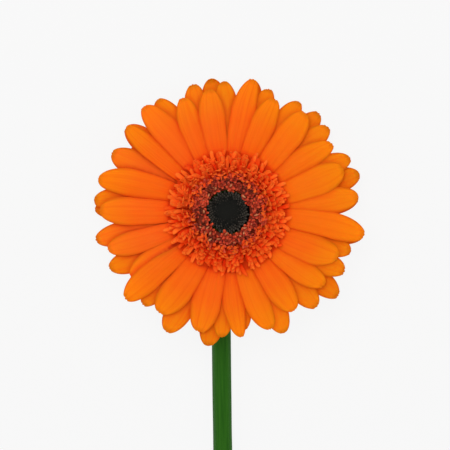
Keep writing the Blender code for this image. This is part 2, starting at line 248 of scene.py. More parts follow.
# The eye: its dome, and the buds that stand on it in a spiral, in millimetres. The outermost are
# thicker and end in longer points. The profile gives shares of a bud's radius, from foot to tip.
EYE_HEIGHT = 6.9
EYE_SWELL = 1.4
EYE_MARGIN = 0.4
DOME_HEIGHTS = (0.6, 6.6)
DOME_SIDES = 32
GOLDEN_ANGLE = 137.508
BUD_COUNT = 230
BUD_SIDES = 6
BUD_DEPTH = 2.6
BUD_LENGTH = 2.3
BUD_RADIUS = 0.45
BUD_THICKENING = 0.08
BUD_PROFILE = (0.75, 1.0, 1.0, 0.85, 0.55, 0.12)
LONGEST_POINT = 1.3

# Involucre: its rows of scales, and the outline of the cup under them, all in millimetres
BRACT_HALF_WIDTH = 1.75
BRACT_THICKNESS = 0.3
BRACT_STEP = 0.15
BRACT_CURL = 0.45
BRACT_KEEL = 0.12
BRACT_RINGS = (
    Ring(16, (6.0, -12.6), (10.0, -11.6), (13.4, -10.3)),
    Ring(20, (8.6, -11.0), (13.0, -9.8), (16.8, -8.6)),
    Ring(22, (10.6, -9.4), (15.6, -8.2), (20.0, -7.3)),
    Ring(24, (12.2, -7.7), (17.6, -6.5), (22.8, -6.3)),
)
CUP_SIDES = 56
CUP_OUTLINE = (
    (4.6, -13.3), (5.6, -13.1), (7.4, -12.2), (9.4, -10.9), (11.4, -9.4), (13.2, -7.9),
    (14.4, -6.4), (14.6, -5.2), (14.2, -4.6), (11.9, -4.4), (11.6, -3.0), (11.6, 0.1),
)

# Stem, along the same route as the solid
STEM_RADIUS = 4.1 * MM
STEM_CUT_RADIUS = 4.7 * MM
STEM_TOP_RADIUS = 4.9 * MM
STEM_TOP_DEPTH = 13.7 * MM
NECK_LEAD = 1.5 * MM
NECK_BEND = 14 * MM
STEM_LEAN = 3.6 * MM
STEM_LEAN_LENGTH = 18 * MM
STEM_BOW = 9 * MM
STEM_FLARE_LENGTH = 3.5 * MM
STEM_SIDES = 48
STEM_STEPS = 150
NECK_STEPS = 25
# The stem's ribs: how many round it, and their depth as a share of its radius
STEM_RIBS = ((9, 0.014), (16, 0.008), (5, 0.01))
# Its slight narrowings, as (share of the radius, radians per metre, phase)
STEM_SWELLS = ((0.006, 90, 1.0), (0.004, 210, 0.0))
# Its cut end, from rind to middle: the share of the radius, and how deep the pith has sunk in mm
CUT_SHARES = (1.0, 0.9, 0.72, 0.4, 0.12)
CUT_DEPTHS = (0.0, 0.05, 0.3, 0.42, 0.62)

# Colours of the ray petals, from the back row to the front: root, middle, tip, the painted shade on
# them, and how strongly their rim shows. The lower rows are darker, partly their own colour and
# partly painted shade from the rows above.
RAY_SHADES = (
    ((0.7, 0.06, 0.003), (0.78, 0.105, 0.003), (0.72, 0.2, 0.003), (0.48, 0.052, 0.003), 0.8),
    ((0.76, 0.065, 0.004), (0.84, 0.11, 0.004), (0.78, 0.21, 0.003), (0.6, 0.052, 0.003), 0.75),
    ((0.92, 0.092, 0.005), (0.92, 0.122, 0.0045), (0.87, 0.206, 0.003), (0.78, 0.05, 0.003), 0.5),
)
# Darker red of the streaks, and of the painted shade in the furrows and along the edges
RAY_EDGE = (0.76, 0.052, 0.003)
RAY_RIM = (0.45, 0.12, 0.002)
RAY_UNDERSIDE = (0.82, 0.24, 0.02)
RAY_BLUSH = (0.93, 0.11, 0.012)
DEEPEST_SHADE = (0.4, 0.018, 0.001)

# Colours of the trans and disc florets, from the deepest to the brightest, and the tint of the
# trans florets nearest the eye
TRANS_SHADES = ((0.6, 0.022, 0.002), (0.84, 0.036, 0.002), (1.0, 0.13, 0.012), (1.0, 0.205, 0.022))
DISC_SHADES = ((0.08, 0.022, 0.012), (0.235, 0.031, 0.015), (0.5, 0.041, 0.02), (0.72, 0.09, 0.036))
HEART = (0.82, 0.07, 0.024)
# Pollen: dull, light and its specks. Buds of the eye: foot, top and the paler outer ones.
POLLEN_SHADES = ((0.42, 0.115, 0.042), (0.56, 0.2, 0.088), (0.62, 0.27, 0.13))
EYE_SHADES = ((0.008, 0.008, 0.0065), (0.0048, 0.0054, 0.005), (0.067, 0.057, 0.046))

# Greens: dark, light, and the cup's paler edge or the cut stem's rind and pith
CUP_SHADES = ((0.022, 0.08, 0.008), (0.045, 0.14, 0.014), (0.1, 0.2, 0.03))
STALK_SHADES = ((0.0165, 0.09, 0.0055), (0.026, 0.12, 0.008), (0.12, 0.24, 0.03), (0.5, 0.55, 0.25))

# Light under the skin: how much, how far its red, green and blue go, and in what scale
RAY_GLOW = (0.4, (1.0, 0.28, 0.05), 0.0015)
FLORET_GLOW = (0.25, (1.0, 0.25, 0.06), 0.001)
GREEN_GLOW = (0.06, (0.4, 1.0, 0.2), 0.0006)

# Floor, light and how near and far the camera sees
FLOOR_HALF = 6.0
FLOOR_DROP = 0.0002
FLOOR_PAINT = (0.06, 0.06, 0.06)
FLOOR_WEAR = 0.995
FLOOR_GLOW = 0.873
SURROUND_STRENGTH = 0.6
KEY_PLACE = (-0.11, 0.17, 1.57)
KEY_SIZE = 0.6
KEY_POWER = 14.0
CLIP_RANGE = (0.05, 50)


def head_frame():
    """The head's frame, from the lowest corner of the eye's box: the rim's and the seat's edges."""
    low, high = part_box("floret_buds")
    sine, cosine = math.sin(HEAD_TILT), math.cos(HEAD_TILT)
    origin = Vector((
        (low.x + high.x) / 2,
        low.y + EYE_RADIUS * cosine - EYE_SEAT * sine,
        low.z + EYE_RADIUS * sine - EYE_SEAT * cosine,
    ))
    return Matrix.Translation(origin) @ Matrix.Rotation(-HEAD_TILT, 4, "X")


HEAD = head_frame()
HEAD_HEIGHT = HEAD.translation.z


def clock(angle, radius, height):
    """Points of the head's frame at clock angles in degrees; each value may be an array."""
    turn = np.radians(angle)
    x, y, z = np.broadcast_arrays(radius * np.sin(turn), radius * np.cos(turn), height)
    return np.stack([x, y, z], axis=-1)


def on_table(points, clearance):
    """Lifts points of the head's frame that would be nearer the table than a clearance."""
    floor = (points[..., 1] * math.sin(HEAD_TILT) - HEAD_HEIGHT + clearance) / math.cos(HEAD_TILT)
    above = points[..., 2] - floor
    points[..., 2] = floor + (above + np.sqrt(above**2 + TABLE_EASE**2)) / 2
    return points


def unit(vectors):
    """The vectors at length 1."""
    return vectors / np.maximum(np.linalg.norm(vectors, axis=-1, keepdims=True), 1e-12)


def smooth(value):
    """A soft step from 0 to 1."""
    value = np.clip(value, 0, 1)
    return value * value * (3 - 2 * value)


def curve_through(root, shoulder, tip, along):
    """A quadratic curve from root to tip, drawn towards the shoulder."""
    return (1 - along) ** 2 * root + 2 * along * (1 - along) * shoulder + along**2 * tip


def hoops(count, sides):
    """The numbers of points that stand in rings, and the faces from each ring to the next."""
    grid = np.arange(count * sides).reshape(count, sides)
    after = np.roll(grid, -1, axis=1)
    return grid, np.stack([grid[:-1], grid[1:], after[1:], after[:-1]], axis=-1).reshape(-1, 4)


def spokes(path, guide, sides):
    """Directions all round a path at each of its points, and the directions along it."""
    forward = unit(np.gradient(path, axis=0))
    right = unit(np.cross(forward, guide))
    up = np.cross(right, forward)
    turn = np.arange(sides) * math.tau / sides
    return right[:, None] * np.cos(turn)[:, None] + up[:, None] * np.sin(turn)[:, None], forward


class Sheaf:
    """Gathers many small closed surfaces into one mesh, with named numbers on its points."""

    def __init__(self, *marks):
        self.points = []
        self.faces = []
        self.marks = {mark: [] for mark in marks}
        self.count = 0

    def add(self, points, faces, **marks):
        """Takes in points and faces; a mark is one number, or one for each point."""
        points = np.asarray(points).reshape(-1, 3)
        self.points.append(points)
        self.faces += [tuple(int(corner) + self.count for corner in face) for face in faces]
        for name, values in self.marks.items():
            given = np.asarray(marks.get(name, 0.0), dtype=float).reshape(-1)
            values.append(np.broadcast_to(given, len(points)) if given.size == 1 else given)
        self.count += len(points)

    def sheet(self, top, normal, thickness, **marks):
        """A grid of points along and across a leaf, with a rim and an underside."""
        rows, columns = top.shape[:2]
        depth = np.broadcast_to(thickness, (rows, columns))[..., None]
        both = np.concatenate([top.reshape(-1, 3), (top - normal * depth).reshape(-1, 3)])
        grid = np.arange(rows * columns).reshape(rows, columns)
        quads = np.stack([grid[:-1, :-1], grid[:-1, 1:], grid[1:, 1:], grid[1:, :-1]], axis=-1)
        quads = quads.reshape(-1, 4)
        under = quads[:, ::-1] + rows * columns
        rim = np.concatenate([grid[0, :], grid[1:, -1], grid[-1, -2::-1], grid[-2:0:-1, 0]])
        after = np.roll(rim, -1)
        side = np.stack([rim, rim + rows * columns, after + rows * columns, after], axis=-1)
        doubled = {}
        for name, values in marks.items():
            flat = np.broadcast_to(values, (rows, columns)).reshape(-1)
            doubled[name] = np.concatenate([flat, flat])
        doubled["under"] = np.repeat([0.0, 1.0], rows * columns)
        self.add(both, np.concatenate([quads, under, side]), **doubled)

    def tube(self, path, radii, sides, **marks):
        """A closed round tube along a path, with a mark given once for each point of the path."""
        ring, _ = spokes(path, (1.0, 0.0, 0.0), sides)
        points = path[:, None] + ring * radii[:, None, None]
        count = len(path)
        grid, quads = hoops(count, sides)
        caps = [tuple(grid[0]), tuple(grid[-1][::-1])]
        spread = {
            name: np.repeat(np.broadcast_to(values, (count,)), sides)
            for name, values in marks.items()
        }
        self.add(points, [*map(tuple, quads), *caps], **spread)

    def piece(self, name, place, material, lean=(0.0, 0.0)):
        """The finished object, moved from its own frame to the world. A lean grows with height."""
        points = np.concatenate(self.points)
        points[:, :2] += smooth((points[:, 2:] - LEAN_FROM) / LEAN_HEIGHT) * lean
        turned = points @ np.array(place.to_3x3()).T + np.array(place.translation)
        mesh = bpy.data.meshes.new(name)
        mesh.from_pydata(turned.tolist(), [], self.faces)
        for mark, values in self.marks.items():
            layer = mesh.attributes.new(mark, "FLOAT", "POINT")
            layer.data.foreach_set("value", np.concatenate(values).astype(np.float32))
        mesh.materials.append(material)
        mesh.shade_smooth()
        mesh.update()
        made = bpy.data.objects.new(name, mesh)
        bpy.context.scene.collection.objects.link(made)
        return made


def dress(piece, *nodes):
    """Lets a piece stand for CAD nodes: attaches it to the root and hides the nodes."""
    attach(piece, "root")
    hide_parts(*nodes)


# Materials


class Shader:
    """Builds a node material out of short calls."""

    def __init__(self, name, roughness, gloss):
        self.material = bpy.data.materials.new(name)
        self.material.use_nodes = True
        self.tree = self.material.node_tree
        self.surface = self.tree.nodes["Principled BSDF"]
        self.surface.inputs["Roughness"].default_value = roughness
        self.surface.inputs["Specular IOR Level"].default_value = gloss

    def node(self, kind, **settings):
        """A new node with some of its settings."""
        made = self.tree.nodes.new(kind)
        for name, value in settings.items():
            setattr(made, name, value)
        return made

    def join(self, value, socket):
        """Sets a socket to a number, a colour or another node's output."""
        if isinstance(value, bpy.types.NodeSocket):
            self.tree.links.new(value, socket)
        else:
            socket.default_value = value

    def mark(self, name):
        """A number that the mesh carries on its points."""
        return self.node("ShaderNodeAttribute", attribute_name=name).outputs["Fac"]

    def math(self, operation, *values):
        """The outcome of one operation on numbers or on other nodes' outputs."""
        made = self.node("ShaderNodeMath", operation=operation)
        for value, socket in zip(values, made.inputs):
            self.join(value, socket)
        return made.outputs[0]

    def times(self, value, factor):
        """A product."""
        return self.math("MULTIPLY", value, factor)

    def between(self, value, low, high, to_low=0.0, to_high=1.0):
        """Maps a range to another, softly and without going past its ends."""
        made = self.node("ShaderNodeMapRange", interpolation_type="SMOOTHSTEP")
        for given, socket in zip((value, low, high, to_low, to_high), made.inputs):
            self.join(given, socket)
        return made.outputs[0]

    def mix(self, share, first, second):
        """A colour between two others."""
        made = self.node("ShaderNodeMix", data_type="RGBA")
        self.join(share, made.inputs[0])
        for value, socket in ((first, made.inputs[6]), (second, made.inputs[7])):
            self.join((*value, 1) if isinstance(value, tuple) else value, socket)
        return made.outputs[2]

    def noise(self, scale, detail, where=None):
        """Noise over the object, or over a place of its own."""
        made = self.node("ShaderNodeTexNoise")
        made.inputs["Scale"].default_value = scale
        made.inputs["Detail"].default_value = detail
        if where is not None:
            self.join(where, made.inputs["Vector"])
        return made.outputs["Fac"]

    def place(self, x, y, z):
        """A place to look up noise at, from three numbers."""
        made = self.node("ShaderNodeCombineXYZ")
        for value, socket in zip((x, y, z), made.inputs):
            self.join(value, socket)
        return made.outputs[0]

    def colour(self, value):
        """Gives the surface its colour."""
        self.join(value, self.surface.inputs["Base Color"])

    def bump(self, height, distance, strength):
        """Fine relief."""
        made = self.node("ShaderNodeBump")
        made.inputs["Strength"].default_value = strength
        made.inputs["Distance"].default_value = distance
        self.join(height, made.inputs["Height"])
        self.join(made.outputs[0], self.surface.inputs["Normal"])

    def soft(self, weight, radius, scale):
        """Light that wanders under the skin."""
        self.surface.inputs["Subsurface Weight"].default_value = weight
        self.surface.inputs["Subsurface Radius"].default_value = radius
        self.surface.inputs["Subsurface Scale"].default_value = scale


def ray_material(name, root, middle, tip, shadow, outline):
    """Orange petal tissue: a redder root, a yellower tip, fine veins and a paler underside."""
    made = Shader(name, roughness=0.55, gloss=0.02)
    along, across, tone = made.mark("along"), made.mark("across"), made.mark("tone")
    aside, shade = made.math("ABSOLUTE", across), made.mark("shade")
    colour = made.mix(made.between(along, 0.2, 0.55), root, middle)
    colour = made.mix(made.between(along, 0.55, 1.0), colour, tip)
    # Streaks that differ between petals, and a line of painted shade in each furrow
    own = made.times(tone, 40.0)
    streaks = made.noise(1.6, 4.0, made.place(made.times(across, 6.0), made.times(along, 1.2), own))
    colour = made.mix(made.between(streaks, 0.45, 0.75, 0.0, 0.26), colour, RAY_EDGE)
    off_furrow = made.math("ABSOLUTE", made.math("SUBTRACT", aside, FURROW_PLACE))
    colour = made.mix(made.between(off_furrow, 0.0, 0.14, 0.16, 0.0), colour, RAY_EDGE)
    colour = made.mix(made.between(streaks, 0.5, 0.3, 0.0, 0.25), colour, tip)
    # Yellower and redder petals, by their tone: painted light makes those to the right yellower, the
    # rest is random
    colour = made.mix(made.between(tone, -0.4, 1.0, 0.0, 0.4), colour, tip)
    colour = made.mix(made.between(tone, -0.2, -1.0, 0.0, 0.4), colour, RAY_BLUSH)
    # Edges painted darker, as shade where they curl down, and the darker rim towards the tip
    colour = made.mix(made.between(aside, 0.8, 1.0, 0.0, 0.6), colour, RAY_EDGE)
    rim = made.between(aside, 0.68, 1.0, 0.0, outline)
    rim = made.math("MAXIMUM", rim, made.between(along, 0.93, RAY_CAP, 0.0, outline))
    colour = made.mix(made.times(rim, made.between(along, 0.62, 0.92)), colour, RAY_RIM)
    # Shade from the petals and florets above
    colour = made.mix(made.times(shade, 0.6), colour, shadow)
    colour = made.mix(made.between(shade, 1.0, 2.2, 0.0, 0.85), colour, DEEPEST_SHADE)
    colour = made.mix(made.times(made.mark("under"), 0.85), colour, RAY_UNDERSIDE)
    made.colour(colour)
    veins = made.noise(1.0, 2.0, made.place(made.times(across, 24.0), made.times(along, 2.2), own))
    made.bump(veins, distance=0.00006, strength=0.4)
    made.soft(*RAY_GLOW)
    return made.material


def floret_material(name, shades, starts, outline):
    """Floret tissue that brightens from its root to its tip, with painted shade on the lower part
    that lies hidden among the florets and along the edges, and varies between florets.
    """
    deep, dark, mid, bright = shades
    made = Shader(name, roughness=0.5, gloss=0.04)
    along, across, tone = made.mark("along"), made.mark("across"), made.mark("tone")
    colour = made.mix(made.between(along, starts[0], starts[1] + 0.06), dark, mid)
    colour = made.mix(made.between(along, starts[1], 0.96), colour, bright)
    # Painted shade along the edges, for the dark gaps between neighbouring florets
    edges = made.between(made.math("ABSOLUTE", across), 0.4, 1.0, 0.0, outline)
    colour = made.mix(edges, colour, dark)
    colour = made.mix(made.between(tone, -0.1, -1.0, 0.0, 0.5), colour, dark)
    colour = made.mix(made.between(tone, -0.8, -1.9, 0.0, 0.85), colour, deep)
    colour = made.mix(made.between(tone, 0.2, 1.0, 0.0, 0.5), colour, bright)
    colour = made.mix(made.times(made.mark("inner"), 0.3), colour, HEART)
    made.colour(colour)
    made.bump(made.noise(1800.0, 2.0), distance=0.00005, strength=0.3)
    made.soft(*FLORET_GLOW)
    return made.material


def pale_tip_material():
    """Peach pollen on some of the disc florets."""
    dull, light, speck = POLLEN_SHADES
    made = Shader("pale_pollen", roughness=0.6, gloss=0.1)
    colour = made.mix(made.between(made.mark("tone"), -1.0, 0.6), dull, light)
    speckle = made.between(made.noise(3500.0, 2.0), 0.4, 0.7, 0.0, 0.4)
    made.colour(made.mix(speckle, colour, speck))
    made.bump(made.noise(5000.0, 2.0), distance=0.00006, strength=0.8)
    return made.material


def eye_material():
    """Near-black buds with a faint green cast, the outer ones paler."""
    foot, top, pale = EYE_SHADES
    made = Shader("eye_buds", roughness=0.7, gloss=0.05)
    colour = made.mix(made.between(made.mark("along"), 0.3, 0.9), foot, top)
    colour = made.mix(made.between(made.mark("tone"), 0.0, 1.3, 0.0, 0.95), colour, pale)
    made.colour(colour)
    made.bump(made.noise(4000.0, 2.0), distance=0.00004, strength=0.6)
    return made.material


def green_material(name, dark, light, edge):
    """Green tissue with lengthwise ribs and paler mottling."""
    made = Shader(name, roughness=0.5, gloss=0.25)
    along, across, tone = made.mark("along"), made.mark("across"), made.mark("tone")
    ribs = made.noise(1.0, 3.0, made.place(made.times(across, 9.0), made.times(along, 5.0), tone))
    colour = made.mix(made.between(ribs, 0.35, 0.7), dark, light)
    mottle = made.between(made.noise(260.0, 3.0), 0.45, 0.75, 0.0, 0.4)
    colour = made.mix(mottle, colour, edge)
    colour = made.mix(made.between(tone, 0.0, 1.0, 0.0, 0.35), colour, edge)
    made.colour(colour)
    made.bump(made.noise(1400.0, 3.0), distance=0.00006, strength=0.5)
    made.soft(*GREEN_GLOW)
    return made.material


def stalk_material(name, dark, light, rind, pith):
    """Green stalk skin with fine lengthwise lines, and the pale pith of its cut end."""
    made = Shader(name, roughness=0.5, gloss=0.06)
    along, across, core = made.mark("along"), made.mark("across"), made.mark("core")
    turn = made.times(across, math.tau)
    lines = made.noise(1.0, 3.0, made.place(
        made.times(made.math("SINE", turn), 9.0),
        made.times(made.math("COSINE", turn), 9.0),
        made.times(along, 14.0),
    ))
    colour = made.mix(made.between(lines, 0.38, 0.66), dark, light)
    mottle = made.between(made.noise(420.0, 4.0), 0.5, 0.72, 0.0, 0.35)
    colour = made.mix(mottle, colour, light)
    colour = made.mix(made.between(core, 0.0, 0.06), colour, rind)
    colour = made.mix(made.between(core, 0.12, 0.4), colour, pith)
    made.colour(colour)
    grain = made.times(made.noise(2600.0, 3.0), 0.5)
    made.bump(made.math("ADD", lines, grain), distance=0.00007, strength=0.6)
    made.soft(*GREEN_GLOW)
    return made.material


# Ray petals


def ray_share(along):
    """A ray petal's half width as a share of its greatest, from its claw to its rounded tip."""
    claw = 0.3 + 0.7 * np.minimum(1, along / RAY_WIDEST) ** 0.9
    past = np.maximum(0, along - RAY_WIDEST) / (1 - RAY_WIDEST)
    return claw * np.sqrt(1 - np.minimum(past, 1) ** 2.4)


def ray_bend(ray, along):
    """The clock angle of a ray petal's middle line, which is its stated middle halfway along."""
    return ray.middle + (ray.tip - ray.middle) * (4 * along**2 - 1) / 3


def edge_lifts(row, number):
    """How high a petal's left and right edges ride, and which of them tuck under a neighbour."""
    if row.order is None:
        lift = RAY_LIFT if number % 2 else -RAY_LIFT
        return lift, lift, 0, 0
    before, after = row.order[number - 1], row.order[number]
    return -before * RAY_LIFT, after * RAY_LIFT, max(0, before), max(0, -after)


def ray_top(row, ray, lifts, draw):
    """The points of a ray petal's upper skin, with how far along and across each one lies."""
    steps = np.linspace(0, 1, RAY_LENGTH_STEPS)
    line = (1 - (1 - steps) ** 1.6)[:, None]
    along = RAY_CAP * line
    across = np.sin(np.linspace(-1, 1, RAY_WIDTH_STEPS) * math.pi / 2)[None, :]
    reach, half_width = ray.reach * MM, ray.width * MM / 2
    length = reach - RAY_ROOT
    left, right, tuck_left, tuck_right = lifts

    share = ray_share(along)
    tuck = np.where(across < 0, tuck_left, tuck_right) * RAY_TUCK
    tuck = tuck * (1 - smooth((along - 0.55) / 0.3))
    beside = RAY_SPREAD * (1 - smooth((along - 0.35) / 0.35))
    half = half_width * share + np.maximum(tuck, beside) * smooth(along / 0.3)
    cap = (1 - RAY_CAP) * (1 - np.abs(across) ** 2.2) * line**8
    tooth = draw.uniform(0.05, 0.4)
    tooth = tooth * np.exp(-(((np.abs(across) - draw.uniform(0.3, 0.45)) / 0.18) ** 2))
    skew = draw.uniform(-0.25, 0.25) * across
    radius = RAY_ROOT + length * (along + cap) - (tooth + skew) * MM * line**12

    bend = ray_bend(ray, along)
    free_from = (COLLAR_OUTER - RAY_ROOT) / length
    free = np.maximum(0, along - free_from) / (1 - free_from)
    height = row.base + RAY_SINK + row.climb * (1 - (1 - free) ** 3) - row.droop * free**2
    height = height + (left * (1 - across) + right * (1 + across)) / 2 * np.minimum(1, free / 0.25)
    height = height - RAY_CAMBER * np.minimum(share, 4 * free) * across**2

    furrow = np.exp(-(((np.abs(across) - FURROW_PLACE) / 0.1) ** 2))
    height = height - FURROW_DEPTH * furrow * smooth(free / 0.2) * (1 - 0.5 * along)
    ribs = np.cos(across * math.pi * RIB_COUNT + draw.uniform(0, 6))
    height = height + RIB_DEPTH * ribs * smooth(free / 0.2)
    wave = np.sin(math.tau * (draw.uniform(0.8, 1.5) * along + draw.uniform(0, 1)))
    height = height + WAVE_HEIGHT * wave * across * np.abs(across) * free
    curl = draw.uniform(-0.8, 0.6) * MM * np.maximum(0, (along - 0.72) / 0.28) ** 2
    height = height + curl + RAY_THICKNESS

    centre = clock(bend, radius, height)
    points = centre + clock(bend + 90, half * across, 0.0)
    shape = (RAY_LENGTH_STEPS, RAY_WIDTH_STEPS)
    on_table(points, row.clearance + RAY_THICKNESS)
    return points, np.broadcast_to(along, shape), np.broadcast_to(across, shape)


def skin_normals(points):
    """Normals of a grid of points, up from a leaf that runs outwards."""
    return unit(np.cross(np.gradient(points, axis=1), np.gradient(points, axis=0)))


def ray_edge(ray):
    """The outline of a ray petal in the head's plane, and how far along each of its points lies."""
    along = 1 - (1 - np.linspace(0, 1, 40)) ** 2
    bend = ray_bend(ray, along)
    centre = clock(bend, RAY_ROOT + (ray.reach * MM - RAY_ROOT) * along, 0.0)
    half = clock(bend + 90, ray.width * MM / 2 * ray_share(along), 0.0)
    return np.concatenate([centre - half, centre + half])[:, :2], np.tile(along, 2)


def rays_above(level, number):
    """The ray petals that may shade one: its neighbours that lie over it, and the rows above."""
    row = RAY_ROWS[level]
    count = len(row.rays)
    before, after = (number - 1) % count, (number + 1) % count
    if row.order is None:
        over = [] if number % 2 else [before, after]
    else:
        over = [before] * (row.order[before] == 1) + [after] * (row.order[number] == -1)
    rays = [row.rays[other] for other in over]
    rays += [ray for upper in RAY_ROWS[level + 1:] for ray in upper.rays]
    own = row.rays[number].middle
    return [ray for ray in rays if math.cos(math.radians(ray.middle - own)) > NEARBY]


def contact_shade(points, rays):
    """How deep points lie in the shade beside the edges of the petals above them, from 0 to 1."""
    flat = points[..., :2].reshape(-1, 1, 2)
    shade = np.zeros(len(flat))
    for ray in rays:
        edge, along = ray_edge(ray)
        near = np.exp(-((np.linalg.norm(flat - edge, axis=2) / SHADE_REACH) ** 2))
        near = near * (1 - SHADE_LOST_AT_TIPS * smooth((along - 0.75) / 0.2))
        shade = np.maximum(shade, near.max(axis=1))
    return shade.reshape(points.shape[:2])


def slot_depth(points):
    """How strong the shade beside edges is: less to the right, more near the florets."""
    radius = np.linalg.norm(points[..., :2], axis=-1)
    inside = smooth((INSIDE_REACH - radius) / INSIDE_FADE)
    return (1 - SHADE_LOST_TO_RIGHT * points[..., 0] / radius) * (1 + SHADE_GAINED_INSIDE * inside)


def floret_shade(points):
    """How deep points lie in the shade under the tips of the trans florets."""
    radius = np.linalg.norm(points[..., :2] - np.array(CORE_LEAN), axis=-1)
    return FLORET_SHADE * smooth((FLORET_REACH - radius) / FLORET_FADE)


def ray_petals(level, material, seed):
    """One row of ray petals."""
    draw = np.random.default_rng(seed)
    row = RAY_ROWS[level]
    sheaf = Sheaf("along", "across", "tone", "under", "shade")
    for number, ray in enumerate(row.rays):
        top, along, across = ray_top(row, ray, edge_lifts(row, number), draw)
        shade = contact_shade(top, rays_above(level, number)) * slot_depth(top)
        shade = np.maximum(shade, floret_shade(top))
        thickness = RAY_THICKNESS * (1 - RAY_THINNING * np.abs(across) ** 6)
        # The tone holds painted light: petals to the right, where the light falls, are painted
        # yellower, and those to the left redder as painted shade; the rest is random
        tone = 0.5 * math.sin(math.radians(ray.middle)) + draw.uniform(-0.5, 0.5)
        marks = {"along": along, "across": across, "tone": tone, "shade": shade}
        sheaf.sheet(top, skin_normals(top), thickness, **marks)
    piece = sheaf.piece(row.name + "_skin", HEAD, material)
    dress(piece, row.name)


# Trans florets


def ring_bed(name, profile, material):
    """A turned ring that florets stand on, from a closed outline of radii and heights in mm."""
    sheaf = Sheaf("along", "across", "tone")
    turn = np.arange(BED_SIDES) * 360 / BED_SIDES
    points = np.stack([clock(turn, radius, height) for radius, height in np.array(profile) * MM])
    grid = np.arange(len(profile) * BED_SIDES).reshape(len(profile), BED_SIDES)
    below, after = np.roll(grid, -1, axis=0), np.roll(grid, -1, axis=1)
    quads = np.stack([grid, after, np.roll(below, -1, axis=1), below], axis=-1).reshape(-1, 4)
    sheaf.add(points, quads, tone=-0.5)
    bed = sheaf.piece(name, HEAD, material, lean=CORE_LEAN)
    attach(bed, "root")


def trans_florets(material, seed):
    """Short curled straps in a dense ring, each with a channel along it and a notched tip."""
    draw = np.random.default_rng(seed)
    sheaf = Sheaf("along", "across", "tone", "inner")
    along = (1 - (1 - np.linspace(0, 1, 11)) ** 1.7)[:, None]
    across = np.linspace(-1, 1, 5)[None, :]
    late = np.maximum(0, (along - 0.55) / 0.45)
    for level, ring in enumerate(TRANS_RINGS):
        inner, inward = max(0, level - 4) / 5, level / (len(TRANS_RINGS) - 1)
        for number in range(ring.count):
            angle = 360 * (number + draw.uniform(-0.4, 0.4)) / ring.count + draw.uniform(0, 4)
            root, shoulder, tip = (np.array(p) * MM for p in (ring.root, ring.shoulder, ring.tip))
            tip = tip * (draw.uniform(0.94, 1.05), 1) + (0, draw.uniform(-0.6, 0.8) * MM)
            line = curve_through(root, shoulder, tip, along)
            height = line[:, 1:] + draw.uniform(0.8, 2.3) * MM * late**2
            radius = line[:, :1] - draw.uniform(0.7, 2.9) * MM * late**2.5
            sway = draw.uniform(-2.0, 2.0) * MM * late**1.5
            round_tip = np.sqrt(1 - np.clip((along - 0.89) / 0.112, 0, 1) ** 2.2)
            half = (draw.uniform(0.72, 1.0) - 0.22 * inner) * MM
            half = half * (0.35 + 0.65 * smooth((along - 0.45) / 0.4)) * round_tip
            channel = draw.uniform(0.15, 0.5) * MM * across**2 * smooth(along * 2)
            notch = TRANS_NOTCH * (1 - np.abs(across)) * late**6
            twist = draw.uniform(-1.1, 1.1) * np.maximum(late, inner * along)
            top = clock(angle, radius - notch, height + channel)
            aside, rise = half * across * np.cos(twist), half * across * np.sin(twist)
            top = top + clock(angle + 90, aside + sway, rise)
            # Neighbours share a part of their tone, so that tufts show
            clump = math.sin(math.radians(19 * angle + 70 * level))
            tone = draw.uniform(-1.2, 1.2) + 0.45 * clump - 0.1 * inner
            # Painted light on the rings where the shade among the tips runs deepest
            if level in BRIGHT_RINGS:
                tone += BRIGHT_TONE
            marks = {"along": along, "across": across, "tone": tone, "inner": inward}
            sheaf.sheet(top, skin_normals(top), TRANS_THICKNESS, **marks)
    dress(sheaf.piece("trans_floret_straps", HEAD, material, lean=CORE_LEAN), "trans_florets")
    ring_bed("trans_floret_bed", TRANS_BED, material)


# Disc florets


def disc_florets(tube_material, tip_material, seed):
    """Tubular florets with curled lobes, some of them round a pale pollen column."""
    draw = np.random.default_rng(seed)
    tubes = Sheaf("along", "across", "tone")
    tips = Sheaf("along", "tone")
    share = np.linspace(0, 1, 5)
    radii = np.interp(share, (0, 0.6, 1), TUBE_RADII) * MM
    for level, ring in enumerate(DISC_RINGS):
        stray = INNER_STRAY if level == len(DISC_RINGS) - 1 else 1
        for number in range(ring.count):
            angle = 360 * (number + level / 2 + draw.uniform(-0.35, 0.35)) / ring.count
            foot = clock(angle, ring.root[0] * MM, ring.root[1] * MM)
            reach = (ring.tip[0] + draw.uniform(-0.6, 0.7) * stray) * MM
            turned = angle + draw.uniform(-2, 2)
            mouth = clock(turned, reach, (ring.tip[1] + draw.uniform(-1.2, 0.3)) * MM)
            forward = unit(mouth - foot)
            tone = draw.uniform(-2.0, 1.1) + 0.4 * max(0, 2 - level)
            path = foot + (mouth - foot) * share[:, None]
            tubes.tube(path, radii, TUBE_SIDES, along=share * 0.4, tone=tone)
            lobes(tubes, mouth, forward, tone, draw)
            across_from = (1 - math.cos(math.radians(angle - POLLEN_SIDE))) / 2
            if draw.random() < POLLEN_SHARES[level] - POLLEN_LOSS * across_from:
                top = mouth + forward * draw.uniform(0.5, 0.9) * MM
                lean = unit(forward + draw.normal(0, 0.7, 3))
                column = np.stack([mouth, top, top + lean * 0.8 * MM, top + lean * 1.5 * MM])
                size = np.array(POLLEN_RADII) * draw.uniform(0.7, 1.2) * MM
                tips.tube(column, size, TUBE_SIDES, along=(0, 0.5, 0.8, 1), tone=draw.uniform(-1, 1))
    dress(tubes.piece("disc_floret_tubes", HEAD, tube_material, lean=CORE_LEAN), "disc_florets")
    pollen = tips.piece("pollen_tips", HEAD, tip_material, lean=CORE_LEAN)
    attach(pollen, "root")
    ring_bed("disc_floret_bed", DISC_BED, tube_material)


